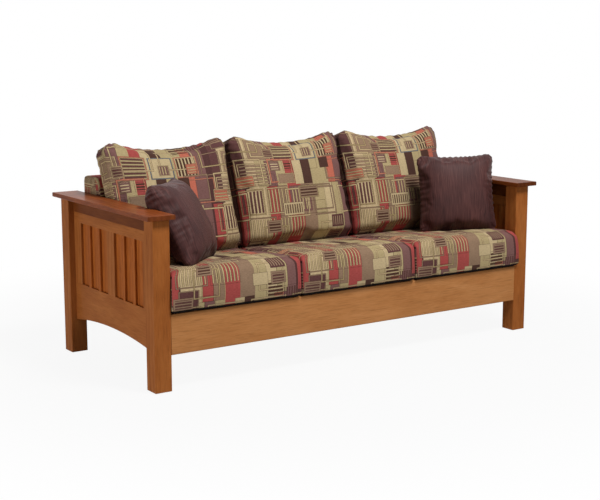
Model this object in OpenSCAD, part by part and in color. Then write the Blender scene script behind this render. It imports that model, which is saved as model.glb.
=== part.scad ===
// Mission sofa: slatted hardwood side frames, boarded arms, a pitched slat deck,
// an upholstered back unit, three seat cushions, three back cushions and two throw pillows.
// Seen from the front, X runs to the right, Y to the back and Z up. The origin is on the floor,
// in the middle of the width and the depth. Left and right are those of someone facing the sofa.

/* [Frame size] */
// Width over the outside of the legs
frame_w = 1930; // [1700:10:2200]
// Depth over the outside of the legs
frame_d = 840; // [800:10:920]
// Height of the legs without their floor glides
leg_h = 671; // [640:1:720]
// Side of the square legs
leg_s = 72; // [62:1:84]
// Thickness of the floor glides
glide_t = 3; // [2:0.5:6]
// Radius of the floor glides
glide_r = 14; // [9:1:22]
// Width of the eased edge on legs, boards and rails
ease = 2; // [0.5:0.5:4]

/* [Arm boards] */
// Thickness of the arm boards
board_t = 18; // [14:1:28]
// Overhang of the boards past the legs, front and rear
board_end = 20; // [10:1:40]
// Overhang of the boards past the legs' outer faces
board_out = 30; // [10:1:45]
// Overhang of the boards past the legs' inner faces
board_in = 16; // [10:1:24]
// Radius of the dowels between legs and boards
dowel_r = 5; // [3:0.5:7]
// Depth of the dowels in the legs
dowel_leg = 30; // [15:1:50]
// Depth of the dowels in the boards
dowel_board = 11; // [6:1:12]

/* [Side frames] */
// Set-back of the side frames from the legs' outer faces
side_recess = 26; // [16:1:32]
// Thickness of the side frames' rails and stiles
side_t = 22; // [20:1:24]
// Height of the rail under the arm board
upper_rail_h = 57; // [40:1:80]
// Amount by which the upper rail stands proud of the frame below it
upper_proud = 2; // [0.5:0.5:4]
// Height of the rail above the slats
top_rail_h = 43; // [30:1:60]
// Height of the arched lower rail at its ends
lower_rail_h = 164; // [130:1:190]
// Height of the lower rail's ends above the floor
lower_rail_z = 147; // [120:1:170]
// Rise of the arch under the lower rail
arch_rise = 29; // [5:1:60]
// Width of the stiles beside the legs
end_stile_w = 66; // [40:1:80]
// Width of the stile at mid depth
centre_stile_w = 66; // [40:1:80]
// Width of the thin slats
slat_w = 22; // [14:1:30]
// Thickness of the thin slats
slat_t = 10; // [8:1:11]
// Number of openings on each side of the centre stile
openings = 3; // [2:1:4]
// Thickness of the inner panel behind the slats
panel_t = 8; // [5:1:8]
// Depth of the grooves that hold the inner panel
groove_d = 8; // [5:1:12]

/* [Front and rear rails] */
// Height of the apron's lower edge above the floor
apron_z = 145; // [110:1:170]
// Height of the front apron
apron_h = 160; // [140:1:180]
// Thickness of the front apron and the rear rail
apron_t = 25; // [20:1:32]
// Length of the tenons
tenon_l = 25; // [14:1:26]
// Thickness of the tenons
tenon_t = 10; // [6:1:12]
// Shoulder above and below each tenon
shoulder = 14; // [6:1:18]
// Clearance round a tenon or panel edge
joint_gap = 0.2; // [0.1:0.05:0.4]

/* [Seat deck] */
// Slope of the seat down towards the back, in degrees
seat_pitch = 3.5; // [1:0.5:6]
// Height of the cushions' underside above the apron's top edge
deck_rise = 2; // [1:0.5:5]
// Thickness of the deck slats
deck_t = 14; // [10:1:20]
// Width of the deck slats
deck_w = 62; // [40:1:70]
// Number of deck slats
deck_n = 6; // [4:1:6]
// Thickness of the stretchers under the deck
stretcher_t = 28; // [20:1:40]
// Width of the ledgers on the side frames
ledger_w = 50; // [45:1:70]
// Height and width of the cleats that carry the stretchers
cleat_s = 25; // [18:1:32]
// Height of the cleats' underside above the apron's lower edge
cleat_up = 20; // [5:1:40]
// Radius of a deck screw's shank
screw_r = 2; // [1.5:0.25:2.5]
// Radius of a deck screw's head
screw_head_r = 4; // [3.5:0.5:5]
// Length of the deck screws
screw_l = 36; // [25:1:45]
// Side of the corner blocks along the apron
block_w = 60; // [30:1:90]
// Height of the corner blocks
block_h = 50; // [30:1:55]
// Width of a corner block's cut-off ends
block_nose = 12; // [6:1:18]

/* [Seat cushions] */
// Thickness of the seat cushions at their seams
seat_t = 158; // [120:1:180]
// Height of the crown on the seat cushions
seat_crown = 10; // [4:1:18]
// Amount by which the seat cushions stand out past the apron
seat_nose = 13; // [4:1:25]
// Radius of the rolled front edge
seat_roll = 38; // [20:1:50]
// Radius of the other edges
seat_edge = 17; // [10:1:24]

/* [Back cushions] */
// Distance from the apron's front face to the foot of the back cushions, along the seat
back_foot = 416; // [380:2:430]
// Recline of the back, in degrees from upright
recline = 19; // [16:0.5:22]
// Height of the back cushions at their corners
back_h = 521; // [460:1:580]
// Width of the boxing round the back cushions
back_box = 80; // [50:1:100]
// Crown on the front of the back cushions
front_crown = 56; // [30:1:70]
// Crown on the rear of the back cushions
rear_crown = 38; // [20:1:50]
// Amount by which a back cushion is narrower than its seat cushion
back_slim = 8; // [6:1:30]
// Amount by which the sides of the back cushions are drawn in at mid height
back_draw = 23; // [19:1:30]
// Share of that amount that the sides regain at the foot
foot_draw = 0.35; // [0:0.05:0.5]
// Amount by which their top edge dips at mid width
top_draw = 48; // [20:1:60]
// Radius of the back cushions' corners
back_corner = 58; // [30:1:80]

/* [Back unit] */
// Height of the back unit's top above the arm boards
back_rise = 72; // [40:2:120]
// Distance from the rear of the legs to the rear of the back unit
back_set = 45; // [25:1:50]
// Thickness of the foam and cloth on the front of the back unit
back_pad = 35; // [20:1:45]
// Thickness of the cloth covers on its rear and ends
cover_t = 5; // [3:0.5:7]
// Thickness of the ribs
rib_t = 20; // [15:1:25]
// Thickness of the top and bottom rails of the back unit
back_rail_t = 25; // [18:1:30]
// Thickness of the webbing
web_t = 2.5; // [1.5:0.5:4]
// Width of each webbing strap
web_w = 50; // [30:1:60]
// Distance of the outer webbing straps from the rails
web_in = 15; // [5:1:25]
// Number of webbing straps
web_n = 5; // [3:1:6]
// Radius of the bolts between back unit and rear legs
bolt_r = 4; // [3:0.5:5]
// Depth of those bolts in the legs
bolt_leg = 35; // [20:1:45]
// Distance of the bolts from the rails above and below them
bolt_in = 55; // [40:1:80]
// Length of the cleats past the bolts
cleat_past = 40; // [25:1:50]

/* [Throw pillows] */
// Side of the square throw pillows
pillow_s = 348; // [300:2:380]
// Full thickness of the throw pillows
pillow_t = 124; // [80:2:140]
// Thickness of a pillow at its seam
pillow_seam = 8; // [4:1:14]
// Radius of a pillow's corners
pillow_corner = 20; // [12:1:40]
// Amount by which a pillow's top and sides are drawn in
pillow_draw = 10; // [4:1:16]
// Distance from the legs' inner faces to the middle of a pillow
pillow_in = 172; // [166:1:220]
// Distance from the front of the legs to the middle of a pillow
pillow_back = 218; // [190:2:240]
// Turn of the left pillow about the upright, in degrees
left_turn = 45; // [35:1:50]
// Lean of the left pillow from the upright, in degrees
left_lean = 28; // [20:1:32]
// Turn of the right pillow about the upright, in degrees
right_turn = -31; // [-40:1:-22]
// Lean of the right pillow from the upright, in degrees
right_lean = 14.5; // [10:0.5:20]
// Tilt of the pillows in their own plane, in degrees
pillow_roll = 1.5; // [0:0.5:3]

/* [Clearance] */
// Gap between loose cushions and what they lie on or against
rest_gap = 0.3; // [0.2:0.05:0.6]
// Gap between the back unit and the arm boards
back_gap = 0.5; // [0.3:0.1:1.5]

/* [Hidden] */

finish = "#9c5a2c";
inner_wood = "#c9a878";
fabric = "#b49a78";
plum = "#5a3c40";
steel = "#9a9a9c";

// Frame
leg_x = frame_w / 2;
leg_y = frame_d / 2;
in_x = leg_x - leg_s;
in_y = leg_y - leg_s;
board_z = glide_t + leg_h;
board_x = in_x - board_in;
dowel_sides = 12;

// Side frames, measured outwards from the middle of the sofa
side_x = leg_x - side_recess;
side_in_x = side_x - side_t;
panel_x = side_x - slat_t;
upper_z = board_z - upper_rail_h;
top_rail_z = upper_z - top_rail_h;
lower_top = lower_rail_z + lower_rail_h;
light_w = (in_y - end_stile_w - centre_stile_w / 2 - (openings - 1) * slat_w) / openings;
tenon_x = side_in_x + (side_t - tenon_t) / 2;
arch_half = in_y;
arch_r = (arch_half * arch_half + arch_rise * arch_rise) / (2 * arch_rise);

// Rails
apron_top = apron_z + apron_h;
apron_in = leg_y - apron_t;
cleat_z = apron_z + cleat_up;

// Seat plane: its origin is above the apron's front face, and it slopes down to the rear
seat_z = apron_top + deck_rise;
p_cos = cos(seat_pitch);
p_sin = sin(seat_pitch);
r_cos = cos(recline);
r_tan = tan(recline);
foot_y = -leg_y + back_foot * p_cos + (seat_t + rest_gap) * p_sin;
foot_z = seat_z - back_foot * p_sin + (seat_t + rest_gap) * p_cos;
stock = back_box + rear_crown + rest_gap;
face_y0 = foot_y + stock * r_cos + (foot_z - stock * sin(recline)) * -r_tan;
function face_y(z, depth = 0) = face_y0 + z * r_tan + depth / r_cos;
seat_rear_gap = 3;
deck_front_gap = 4;
deck_rear_gap = 2;
seat_len = (face_y0 + seat_z * r_tan - seat_rear_gap + leg_y) / (p_cos + p_sin * r_tan);
deck_s0 = apron_t + deck_front_gap;
deck_s1 = seat_len - deck_rear_gap;
deck_step = (deck_s1 - deck_s0 - deck_w) / (deck_n - 1);
deck_drop = deck_t + rest_gap;
shelf_y = -leg_y + deck_s1 * p_cos;
function deck_under(y) = seat_z - deck_drop / p_cos - (y + leg_y) * p_sin / p_cos;
shelf_z = deck_under(shelf_y);
slab_w = 2 * in_x / 3;
cushion_w = slab_w - 2 * rest_gap;
ledger_x = side_in_x - ledger_w;
bearer_x = [-in_x / 2, 0, in_x / 2];
edge_x = (in_x + ledger_x) / 2;

// Back unit
back_top = board_z + board_t + back_rise;
unit_y = leg_y - back_set;
unit_x = board_x - back_gap;
inner_x = unit_x - cover_t;
web_depth = back_pad + joint_gap;
frame_depth = web_depth + web_t;
unit_z0 = shelf_z;
rib_z0 = unit_z0 + back_rail_t;
top_pad = 20;
rib_z1 = back_top - top_pad - back_rail_t;
lip_h = 70;
lip_z = back_top - lip_h;
cavity_y = unit_y - cover_t;
bolt_y = (in_y + cavity_y) / 2;
bolt_heights = [lower_top + bolt_in, top_rail_z - bolt_in];

// Small helpers
function smooth(t) = let (u = max(0, min(1, t))) u * u * (3 - 2 * u);
module box(lo, hi) {
    translate(lo) cube(hi - lo);
}
module eased_plan(w, d, e = ease) {
    polygon([[e, 0], [w - e, 0], [w, e], [w, d - e], [w - e, d], [e, d], [0, d - e], [0, e]]);
}
// A bar along X with eased long edges
module bar_x(lo, hi) {
    translate([lo.x, lo.y, lo.z]) rotate([90, 0, 90])
        linear_extrude(hi.x - lo.x) eased_plan(hi.y - lo.y, hi.z - lo.z);
}
// A bar along Y with eased long edges
module bar_y(lo, hi) {
    translate([lo.x, hi.y, lo.z]) rotate([90, 0, 0])
        linear_extrude(hi.y - lo.y) eased_plan(hi.x - lo.x, hi.z - lo.z);
}
// A profile in Y and Z, carried along X
module profile_x(x0, x1, pts) {
    translate([x0, 0, 0]) rotate([90, 0, 90]) linear_extrude(x1 - x0) polygon(pts);
}
module side(s) {
    if (s < 0) mirror([1, 0, 0]) children();
    else children();
}

// Tenons, with grow as the clearance of their mortises
module side_tenon(z0, z1, s, grow = 0) {
    reach = tenon_l + (grow > 0 ? 1 : 0);
    y0 = s > 0 ? in_y : -in_y - reach;
    box([tenon_x - grow, y0, z0 + shoulder - grow],
        [tenon_x + tenon_t + grow, y0 + reach, z1 - shoulder + grow]);
}
module side_tenons(s, grow = 0) {
    side_tenon(upper_z, board_z, s, grow);
    side_tenon(top_rail_z, upper_z, s, grow);
    side_tenon(lower_rail_z, lower_top, s, grow);
}
module rail_tenon(s, grow = 0) {
    reach = tenon_l + (grow > 0 ? 1 : 0);
    mid = leg_y - apron_t / 2;
    box([in_x, s * mid - tenon_t / 2 - grow, apron_z + shoulder - grow],
        [in_x + reach, s * mid + tenon_t / 2 + grow, apron_top - shoulder + grow]);
}
module dowel_places() {
    y = (in_y + tenon_l + leg_y) / 2;
    for (d = [-1, 1]) translate([leg_x - leg_s / 2 + d * leg_s / 5, y, board_z]) children();
}
module bolt_places() {
    for (z = bolt_heights) translate([in_x, bolt_y, z]) rotate([0, 90, 0]) children();
}

// A leg in the quarter where X is positive; end is 1 at the rear and -1 at the front
module leg(end) {
    difference() {
        translate([in_x, end > 0 ? in_y : -leg_y, glide_t]) linear_extrude(leg_h) eased_plan(leg_s, leg_s);
        side_tenons(end, joint_gap);
        rail_tenon(end, joint_gap);
        mirror([0, end > 0 ? 0 : 1, 0]) dowel_places()
            translate([0, 0, -dowel_leg - 1]) cylinder(r = dowel_r, h = dowel_leg + 2, $fn = dowel_sides);
        if (end > 0) bolt_places() cylinder(r = bolt_r, h = bolt_leg + 1, $fn = 24);
    }
}
module arm_board() {
    difference() {
        bar_y([board_x, -leg_y - board_end, board_z],
            [leg_x + board_out, leg_y + board_end, board_z + board_t]);
        for (m = [0, 1]) mirror([0, m, 0]) dowel_places()
            translate([0, 0, -1]) cylinder(r = dowel_r, h = dowel_board + 2, $fn = dowel_sides);
    }
}
module upper_rail() {
    box([side_in_x, -in_y, upper_z], [side_x + upper_proud, in_y, board_z]);
    for (s = [-1, 1]) side_tenon(upper_z, board_z, s);
}
module panel_cut() {
    box([panel_x - panel_t - joint_gap, -in_y + end_stile_w - groove_d, lower_top - groove_d],
        [panel_x + joint_gap, in_y - end_stile_w + groove_d, top_rail_z + groove_d]);
}
module top_rail() {
    difference() {
        union() {
            box([side_in_x, -in_y, top_rail_z], [side_x, in_y, upper_z]);
            for (s = [-1, 1]) side_tenon(top_rail_z, upper_z, s);
        }
        panel_cut();
    }
}
module lower_rail() {
    difference() {
        union() {
            box([side_in_x, -in_y, lower_rail_z], [side_x, in_y, lower_top]);
            for (s = [-1, 1]) side_tenon(lower_rail_z, lower_top, s);
        }
        panel_cut();
        translate([side_in_x - 1, 0, lower_rail_z + arch_rise - arch_r]) rotate([0, 90, 0])
            cylinder(r = arch_r, h = side_t + 2, $fn = 360);
    }
}
module stile(y0, w) {
    difference() {
        box([side_in_x, y0, lower_top], [side_x, y0 + w, top_rail_z]);
        panel_cut();
    }
}
module centre_stile() {
    box([panel_x, -centre_stile_w / 2, lower_top], [side_x, centre_stile_w / 2, top_rail_z]);
}
module slats() {
    for (m = [-1, 1]) for (k = [1:openings - 1]) {
        y = centre_stile_w / 2 + k * light_w + (k - 1) * slat_w;
        box([panel_x, m > 0 ? y : -y - slat_w, lower_top], [side_x, m > 0 ? y + slat_w : -y, top_rail_z]);
    }
}
module side_panel() {
    edge = groove_d - joint_gap;
    box([panel_x - panel_t, -in_y + end_stile_w - edge, lower_top - edge],
        [panel_x, in_y - end_stile_w + edge, top_rail_z + edge]);
}
module long_rail(s) {
    y0 = s > 0 ? apron_in : -leg_y;
    bar_x([-in_x, y0, apron_z], [in_x, y0 + apron_t, apron_top]);
    for (m = [-1, 1]) side(m) rail_tenon(s);
}
module cleat(s) {
    y0 = s > 0 ? apron_in - cleat_s : -apron_in;
    box([-in_x, y0, cleat_z], [in_x, y0 + cleat_s, cleat_z + cleat_s]);
}

// Seat deck
module on_seat() {
    translate([0, -leg_y, seat_z]) rotate([-seat_pitch, 0, 0]) children();
}
function screw_s(k) = deck_s0 + k * deck_step + deck_w / 2;
// Every slat is screwed to the stretchers, and to the ledgers where it lies on them
module screw_places() {
    first = [for (k = [0:deck_n - 1]) if (screw_s(k) > leg_s + 2 * screw_head_r) k][0];
    on_seat() {
        for (x = bearer_x) for (k = [0:deck_n - 1]) translate([x, screw_s(k), -rest_gap]) children();
        for (x = [-edge_x, edge_x]) for (k = [first:deck_n - 1])
            translate([x, screw_s(k), -rest_gap]) children();
    }
}
screw_sides = 8;
screw_head_t = 2;
module screw_holes() {
    screw_places() translate([0, 0, -screw_l - 1])
        cylinder(r = screw_r, h = screw_l + 2, $fn = screw_sides);
}
bearer_top = [[-apron_in, deck_under(-apron_in)], [shelf_y, shelf_z], [apron_in, shelf_z]];
module stretcher(x) {
    cz = cleat_z + cleat_s;
    difference() {
        profile_x(x - stretcher_t / 2, x + stretcher_t / 2, concat(bearer_top,
            [[apron_in, cz], [apron_in - cleat_s, cz], [apron_in - cleat_s, cleat_z],
            [-apron_in + cleat_s, cleat_z], [-apron_in + cleat_s, cz], [-apron_in, cz]]));
        screw_holes();
    }
}
ledger_above_arch = 12;
module seat_ledger() {
    low = lower_rail_z + arch_rise + ledger_above_arch;
    difference() {
        profile_x(ledger_x, side_in_x, [[-in_y, low], [-in_y, deck_under(-in_y)],
            [shelf_y, shelf_z], [in_y, shelf_z], [in_y, low]]);
        screw_holes();
    }
}
module deck_slats() {
    difference() {
        on_seat() for (k = [0:deck_n - 1])
            translate([-in_x + rest_gap, deck_s0 + k * deck_step, -deck_drop])
                cube([2 * in_x - 2 * rest_gap, deck_w, deck_t]);
        screw_holes();
        screw_places() translate([0, 0, -screw_head_t])
            cylinder(r = screw_head_r, h = screw_head_t + 1, $fn = screw_sides);
    }
}
module deck_screws() {
    screw_places() {
        translate([0, 0, -screw_l]) cylinder(r = screw_r, h = screw_l - screw_head_t / 2, $fn = screw_sides);
        translate([0, 0, -screw_head_t]) cylinder(r = screw_head_r, h = screw_head_t, $fn = screw_sides);
    }
}
block_above_cleat = 2;
module corner_blocks() {
    z0 = cleat_z + cleat_s + block_above_cleat;
    w = in_y - apron_in;
    for (m = [-1, 1]) side(m) for (s = [0, 1]) mirror([0, s, 0])
        translate([in_x, -apron_in, z0]) linear_extrude(min(block_h, deck_under(in_y) - z0))
            polygon([[0, 0], [0, -w], [-block_nose, -w], [-block_w, block_nose], [-block_w, 0]]);
}
module board_dowels() {
    for (m = [-1, 1]) side(m) for (s = [0, 1]) mirror([0, s, 0]) dowel_places()
        translate([0, 0, -dowel_leg]) cylinder(r = dowel_r - joint_gap / 2,
            h = dowel_leg + dowel_board, $fn = dowel_sides);
}
module floor_glides() {
    for (x = [-1, 1]) for (y = [-1, 1]) translate([x * (leg_x - leg_s / 2), y * (leg_y - leg_s / 2), 0])
        cylinder(r = glide_r, h = glide_t, $fn = 40);
}

// Back unit
function arc(cx, cz, r, a0, a1, n) = [for (k = [0:n])
    let (a = a0 + (a1 - a0) * k / n) [cx + r * cos(a), cz + r * sin(a)]];
front_round = 24;
rear_round = 14;
round_cz = back_top - front_round;
round_cy = face_y(round_cz, front_round);
unit_profile = concat([[face_y(unit_z0), unit_z0]],
    arc(round_cy, round_cz, front_round, 180 - recline, 90, 6),
    arc(unit_y - rear_round, back_top - rear_round, rear_round, 90, 0, 5),
    [[unit_y, unit_z0]]);
module back_bottom_rail() {
    profile_x(-inner_x, inner_x, [[face_y(unit_z0, frame_depth), unit_z0],
        [face_y(rib_z0, frame_depth), rib_z0], [cavity_y, rib_z0], [cavity_y, unit_z0]]);
}
module back_top_rail() {
    profile_x(-inner_x, inner_x, [[face_y(rib_z1, frame_depth), rib_z1],
        [face_y(rib_z1 + back_rail_t, frame_depth), rib_z1 + back_rail_t],
        [cavity_y, rib_z1 + back_rail_t], [cavity_y, rib_z1]]);
}
module back_ribs() {
    third = inner_x / 3;
    difference() {
        for (x = [-inner_x, -third - rib_t / 2, third - rib_t / 2, inner_x - rib_t])
            profile_x(x, x + rib_t, [[face_y(rib_z0, frame_depth), rib_z0],
                [face_y(rib_z1, frame_depth), rib_z1], [cavity_y, rib_z1], [cavity_y, rib_z0]]);
        bolt_holes(inner_x - rib_t - 1, inner_x + 1);
    }
}
module back_webbing() {
    z0 = rib_z0 + web_in;
    step = (rib_z1 - web_in - web_w - z0) / (web_n - 1);
    for (k = [0:web_n - 1]) {
        z = z0 + k * step;
        profile_x(-inner_x, inner_x, [[face_y(z, web_depth), z], [face_y(z + web_w, web_depth), z + web_w],
            [face_y(z + web_w, frame_depth), z + web_w], [face_y(z, frame_depth), z]]);
    }
}
module inside_back() {
    difference() {
        profile_x(-inner_x, inner_x, unit_profile);
        profile_x(-inner_x - 1, inner_x + 1, [[face_y(unit_z0 - 1, back_pad), unit_z0 - 1],
            [face_y(rib_z1 + back_rail_t, back_pad), rib_z1 + back_rail_t],
            [cavity_y, rib_z1 + back_rail_t], [cavity_y, lip_z], [unit_y + 1, lip_z],
            [unit_y + 1, unit_z0 - 1]]);
    }
}
module outside_back() {
    box([-inner_x, cavity_y, unit_z0], [inner_x, unit_y, lip_z]);
}
module bolt_holes(x0, x1) {
    for (m = [-1, 1]) side(m) bolt_places() translate([0, 0, x0 - in_x])
        cylinder(r = bolt_r + joint_gap, h = x1 - x0, $fn = 24);
}
module back_end() {
    difference() {
        profile_x(inner_x, unit_x, unit_profile);
        bolt_holes(inner_x - 1, unit_x + 1);
    }
}
module back_cleat() {
    reach = bolt_y - in_y + cleat_past;
    difference() {
        box([unit_x, bolt_y - reach, bolt_heights[0] - cleat_past],
            [in_x, bolt_y + reach / 2, bolt_heights[1] + cleat_past]);
        bolt_holes(unit_x - 1, in_x + 1);
    }
}
module back_bolts() {
    head = inner_x - rib_t;
    for (m = [-1, 1]) side(m) bolt_places() translate([0, 0, head - in_x]) {
        cylinder(r = bolt_r - joint_gap / 4, h = in_x - head + bolt_leg, $fn = 24);
        translate([0, 0, -bolt_r * 1.3]) cylinder(r = bolt_r * 1.8, h = bolt_r * 1.3, $fn = 6);
    }
}

// Soft forms are rings of points round a rounded rectangle, closed by a point at each end
side_n = 5;
corner_n = 4;
ring_n = 4 * (side_n + corner_n);
// Point k of a rounded rectangle with half sizes a and b and corner radius r
function outline(k, a, b, r) = let (q = floor(k / (side_n + corner_n)), j = k % (side_n + corner_n),
    ca = q % 2 == 0 ? a : b, cb = q % 2 == 0 ? b : a, ang = 90 * (j - side_n) / corner_n,
    p = j < side_n ? [ca, (cb - r) * (2 * j / side_n - 1)]
        : [ca - r + r * cos(ang), cb - r + r * sin(ang)])
    [p.x * cos(90 * q) - p.y * sin(90 * q), p.x * sin(90 * q) + p.y * cos(90 * q)];
module ringed(points, rings) {
    last = len(points) - 1;
    polyhedron(points, concat(
        [for (k = [0:ring_n - 1]) [0, 1 + (k + 1) % ring_n, 1 + k]],
        [for (g = [0:rings - 2]) for (k = [0:ring_n - 1]) for (t = [0, 1])
            let (a = 1 + g * ring_n + k, b = 1 + g * ring_n + (k + 1) % ring_n)
            t == 0 ? [a, b, b + ring_n] : [a, b + ring_n, a + ring_n]],
        [for (k = [0:ring_n - 1])
            let (a = 1 + (rings - 1) * ring_n) [last, a + k, a + (k + 1) % ring_n]]), convexity = 4);
}

// Seat cushion in the seat plane: x across, y from the apron's front face, z from its underside
seat_a = cushion_w / 2;
seat_b = (seat_len + seat_nose) / 2;
seat_mid = (seat_len - seat_nose) / 2;
seat_corner = 30;
seat_drawn = 3;
seat_bulge = 6;
crown_clear = 30;
crown_fade = 190;
flat_from = back_foot - crown_clear;
function seat_top(x, y) = seat_t + seat_crown * max(0, 1 - pow(x / seat_a, 2))
    * max(0, 1 - pow((y - seat_mid) / seat_b, 4)) * smooth((flat_from - y) / crown_fade);
function rolled(y) = seat_edge
    + (seat_roll - seat_edge) * smooth((seat_mid - seat_b * 0.4 - y) / (seat_b * 0.6));
// A ring is [share of the half size, angle of the edge, side]; the top is 1, the wall 0, the underside -1
seat_rings = [[0.35, 0, 1], [0.65, 0, 1], [0.87, 0, 1], [1, 0, 1], [1, 30, 1], [1, 60, 1], [1, 90, 1],
    [1, 90, 0], [1, 90, -1], [1, 45, -1], [1, 0, -1]];
function seat_point(k, g) = let (o = outline(k, seat_a, seat_b, seat_corner), s = seat_rings[g],
    wall = s[2] == 0, r = s[2] > 0 ? rolled(o.y + seat_mid) : seat_edge,
    inset = wall ? 0 : r * (1 - sin(s[1])), drop = r * (1 - cos(s[1])),
    at_side = abs(o.x) > seat_a - 1, at_front = o.y < -seat_b + 1,
    nose = at_front && s[1] >= 60 ? seat_bulge * (1 - pow(o.x / seat_a, 2)) * (wall ? 1 : 0.7) : 0,
    x = o.x * s[0] * (1 - inset / seat_a) - (at_side && wall ? sign(o.x) * seat_drawn : 0),
    y = o.y * s[0] * (1 - inset / seat_b) + seat_mid - nose,
    z = s[2] > 0 ? seat_top(x, y) - drop : wall ? seat_t * 0.45 : drop) [x, y, z];
module seat_cushion(slot) {
    on_seat() translate([slot * slab_w, 0, 0]) ringed(concat([[0, seat_mid, seat_top(0, seat_mid)]],
        [for (g = [0:len(seat_rings) - 1]) for (k = [0:ring_n - 1]) seat_point(k, g)],
        [[0, seat_mid, 0]]), len(seat_rings));
}

// A swelling that is full in the middle and falls to nothing at the seam, for u and v from -1 to 1
function swell(u, v, flat, round) =
    pow(max(0, 1 - pow(abs(u), flat)) * max(0, 1 - pow(abs(v), flat)), round);

// Back cushion in its own plane: x across, y from the front seam to the rear, z up along the recline
back_a = (cushion_w - back_slim) / 2;
back_b = back_h / 2;
// A ring is [share of the half size, side, share of the boxing].
// Its side is 1 on the front, 0 on the boxing and -1 on the rear.
back_rings = concat([for (s = [0.25, 0.48, 0.68, 0.84, 0.95]) [s, 1, 0]],
    [[1, 0, 0], [1, 0, 0.5], [1, 0, 1]], [for (s = [0.95, 0.84, 0.64, 0.35]) [s, -1, 1]]);
function back_depth(u, v, ring) = ring[2] * back_box + (ring[1] > 0 ? -front_crown * swell(u, v, 2.6, 0.6)
    : ring[1] < 0 ? rear_crown * swell(u, v, 4, 0.7) : 0);
wedge = tan(recline - seat_pitch);
// Drawn-in sides and top, and a foot that lies flat on the sloping seat
function drawn(x, z, y) = let (h = z + back_b, u = x / back_a, v = z / back_b, pinch = v > 0 ? 1 : foot_draw)
    [x * (1 - back_draw / back_a * (1 - pinch * v * v)), y,
    h - (v > 0 ? top_draw * v * (1 - u * u) : 0) + y * wedge * pow(1 - h / back_h, 2)];
function back_point(k, g) = let (o = outline(k, back_a, back_b, back_corner), ring = back_rings[g],
    x = o.x * ring[0], z = o.y * ring[0]) drawn(x, z, back_depth(x / back_a, z / back_b, ring));
back_points = concat([drawn(0, 0, -front_crown)],
    [for (g = [0:len(back_rings) - 1]) for (k = [0:ring_n - 1]) back_point(k, g)],
    [drawn(0, 0, back_box + rear_crown)]);
module back_cushion(slot) {
    translate([slot * slab_w, foot_y, foot_z]) rotate([-recline, 0, 0]) ringed(back_points, len(back_rings));
}

// Throw pillow about its own middle: x across, y through, z up
pillow_a = pillow_s / 2;
pillow_shares = [0.3, 0.55, 0.75, 0.89, 0.97];
pillow_rings = concat([for (s = pillow_shares) [s, -1]], [[1, -1], [1, 1]],
    [for (j = [len(pillow_shares) - 1:-1:0]) [pillow_shares[j], 1]]);
function pillow_depth(u, v) = pillow_seam / 2 + (pillow_t - pillow_seam) / 2 * swell(u, v, 2.2, 0.5);
function pillow_point(k, g) = let (o = outline(k, pillow_a, pillow_a, pillow_corner), ring = pillow_rings[g],
    x = o.x * ring[0], z = o.y * ring[0], u = x / pillow_a, v = z / pillow_a)
    [x * (1 - pillow_draw / pillow_a * (1 - v * v)),
    ring[1] * (ring[0] < 1 ? pillow_depth(u, v) : pillow_seam / 2),
    v > 0 ? z - pillow_draw * v * (1 - u * u) : z];
pillow_points = concat([[0, -pillow_t / 2, 0]],
    [for (g = [0:len(pillow_rings) - 1]) for (k = [0:ring_n - 1]) pillow_point(k, g)],
    [[0, pillow_t / 2, 0]]);
function rolled_y(p, a) = [p.x * cos(a) + p.z * sin(a), p.y, p.z * cos(a) - p.x * sin(a)];
function leaned_x(p, a) = [p.x, p.y * cos(a) + p.z * sin(a), p.z * cos(a) - p.y * sin(a)];
function turned_z(p, a) = [p.x * cos(a) - p.y * sin(a), p.x * sin(a) + p.y * cos(a), p.z];
function posed(s, turn, lean) = [for (p = pillow_points)
    turned_z(leaned_x(rolled_y(p, -s * pillow_roll), lean), turn)
        + [s * (in_x - pillow_in), -leg_y + pillow_back, 0]];
// How far a posed point has to rise to clear the crown of the outer seat cushion
function rise(p, s) = let (dy = p.y + leg_y, dz = p.z - seat_z, y = dy * p_cos - dz * p_sin,
    h = dy * p_sin + dz * p_cos) (seat_top(abs(p.x) - slab_w, y) - h) / p_cos;
module pillow(s, turn, lean) {
    low = posed(s, turn, lean);
    base = board_z;
    shifted = [for (p = low) p + [0, 0, base]];
    lift = base + max([for (p = shifted) rise(p, s)]) + rest_gap;
    ringed([for (p = low) p + [0, 0, lift]], len(pillow_rings));
}

color(finish) side(-1) leg(-1);  // front_left_leg
color(finish) leg(-1);  // front_right_leg
color(finish) side(-1) leg(1);  // rear_left_leg
color(finish) leg(1);  // rear_right_leg
color(finish) side(-1) arm_board();  // left_arm_board
color(finish) arm_board();  // right_arm_board
color(finish) side(-1) upper_rail();  // left_upper_rail
color(finish) upper_rail();  // right_upper_rail
color(finish) side(-1) top_rail();  // left_top_rail
color(finish) top_rail();  // right_top_rail
color(finish) side(-1) lower_rail();  // left_lower_rail
color(finish) lower_rail();  // right_lower_rail
color(finish) side(-1) stile(-in_y, end_stile_w);  // left_front_stile
color(finish) side(-1) centre_stile();  // left_centre_stile
color(finish) side(-1) stile(in_y - end_stile_w, end_stile_w);  // left_rear_stile
color(finish) stile(-in_y, end_stile_w);  // right_front_stile
color(finish) centre_stile();  // right_centre_stile
color(finish) stile(in_y - end_stile_w, end_stile_w);  // right_rear_stile
color(finish) side(-1) slats();  // left_slats
color(finish) slats();  // right_slats
color(finish) side(-1) side_panel();  // left_side_panel
color(finish) side_panel();  // right_side_panel
color(finish) long_rail(-1);  // front_apron
color(finish) long_rail(1);  // rear_rail
color(inner_wood) cleat(-1);  // front_cleat
color(inner_wood) cleat(1);  // rear_cleat
color(inner_wood) side(-1) seat_ledger();  // left_seat_ledger
color(inner_wood) seat_ledger();  // right_seat_ledger
color(inner_wood) stretcher(-in_x / 2);  // left_stretcher
color(inner_wood) stretcher(0);  // centre_stretcher
color(inner_wood) stretcher(in_x / 2);  // right_stretcher
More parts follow.
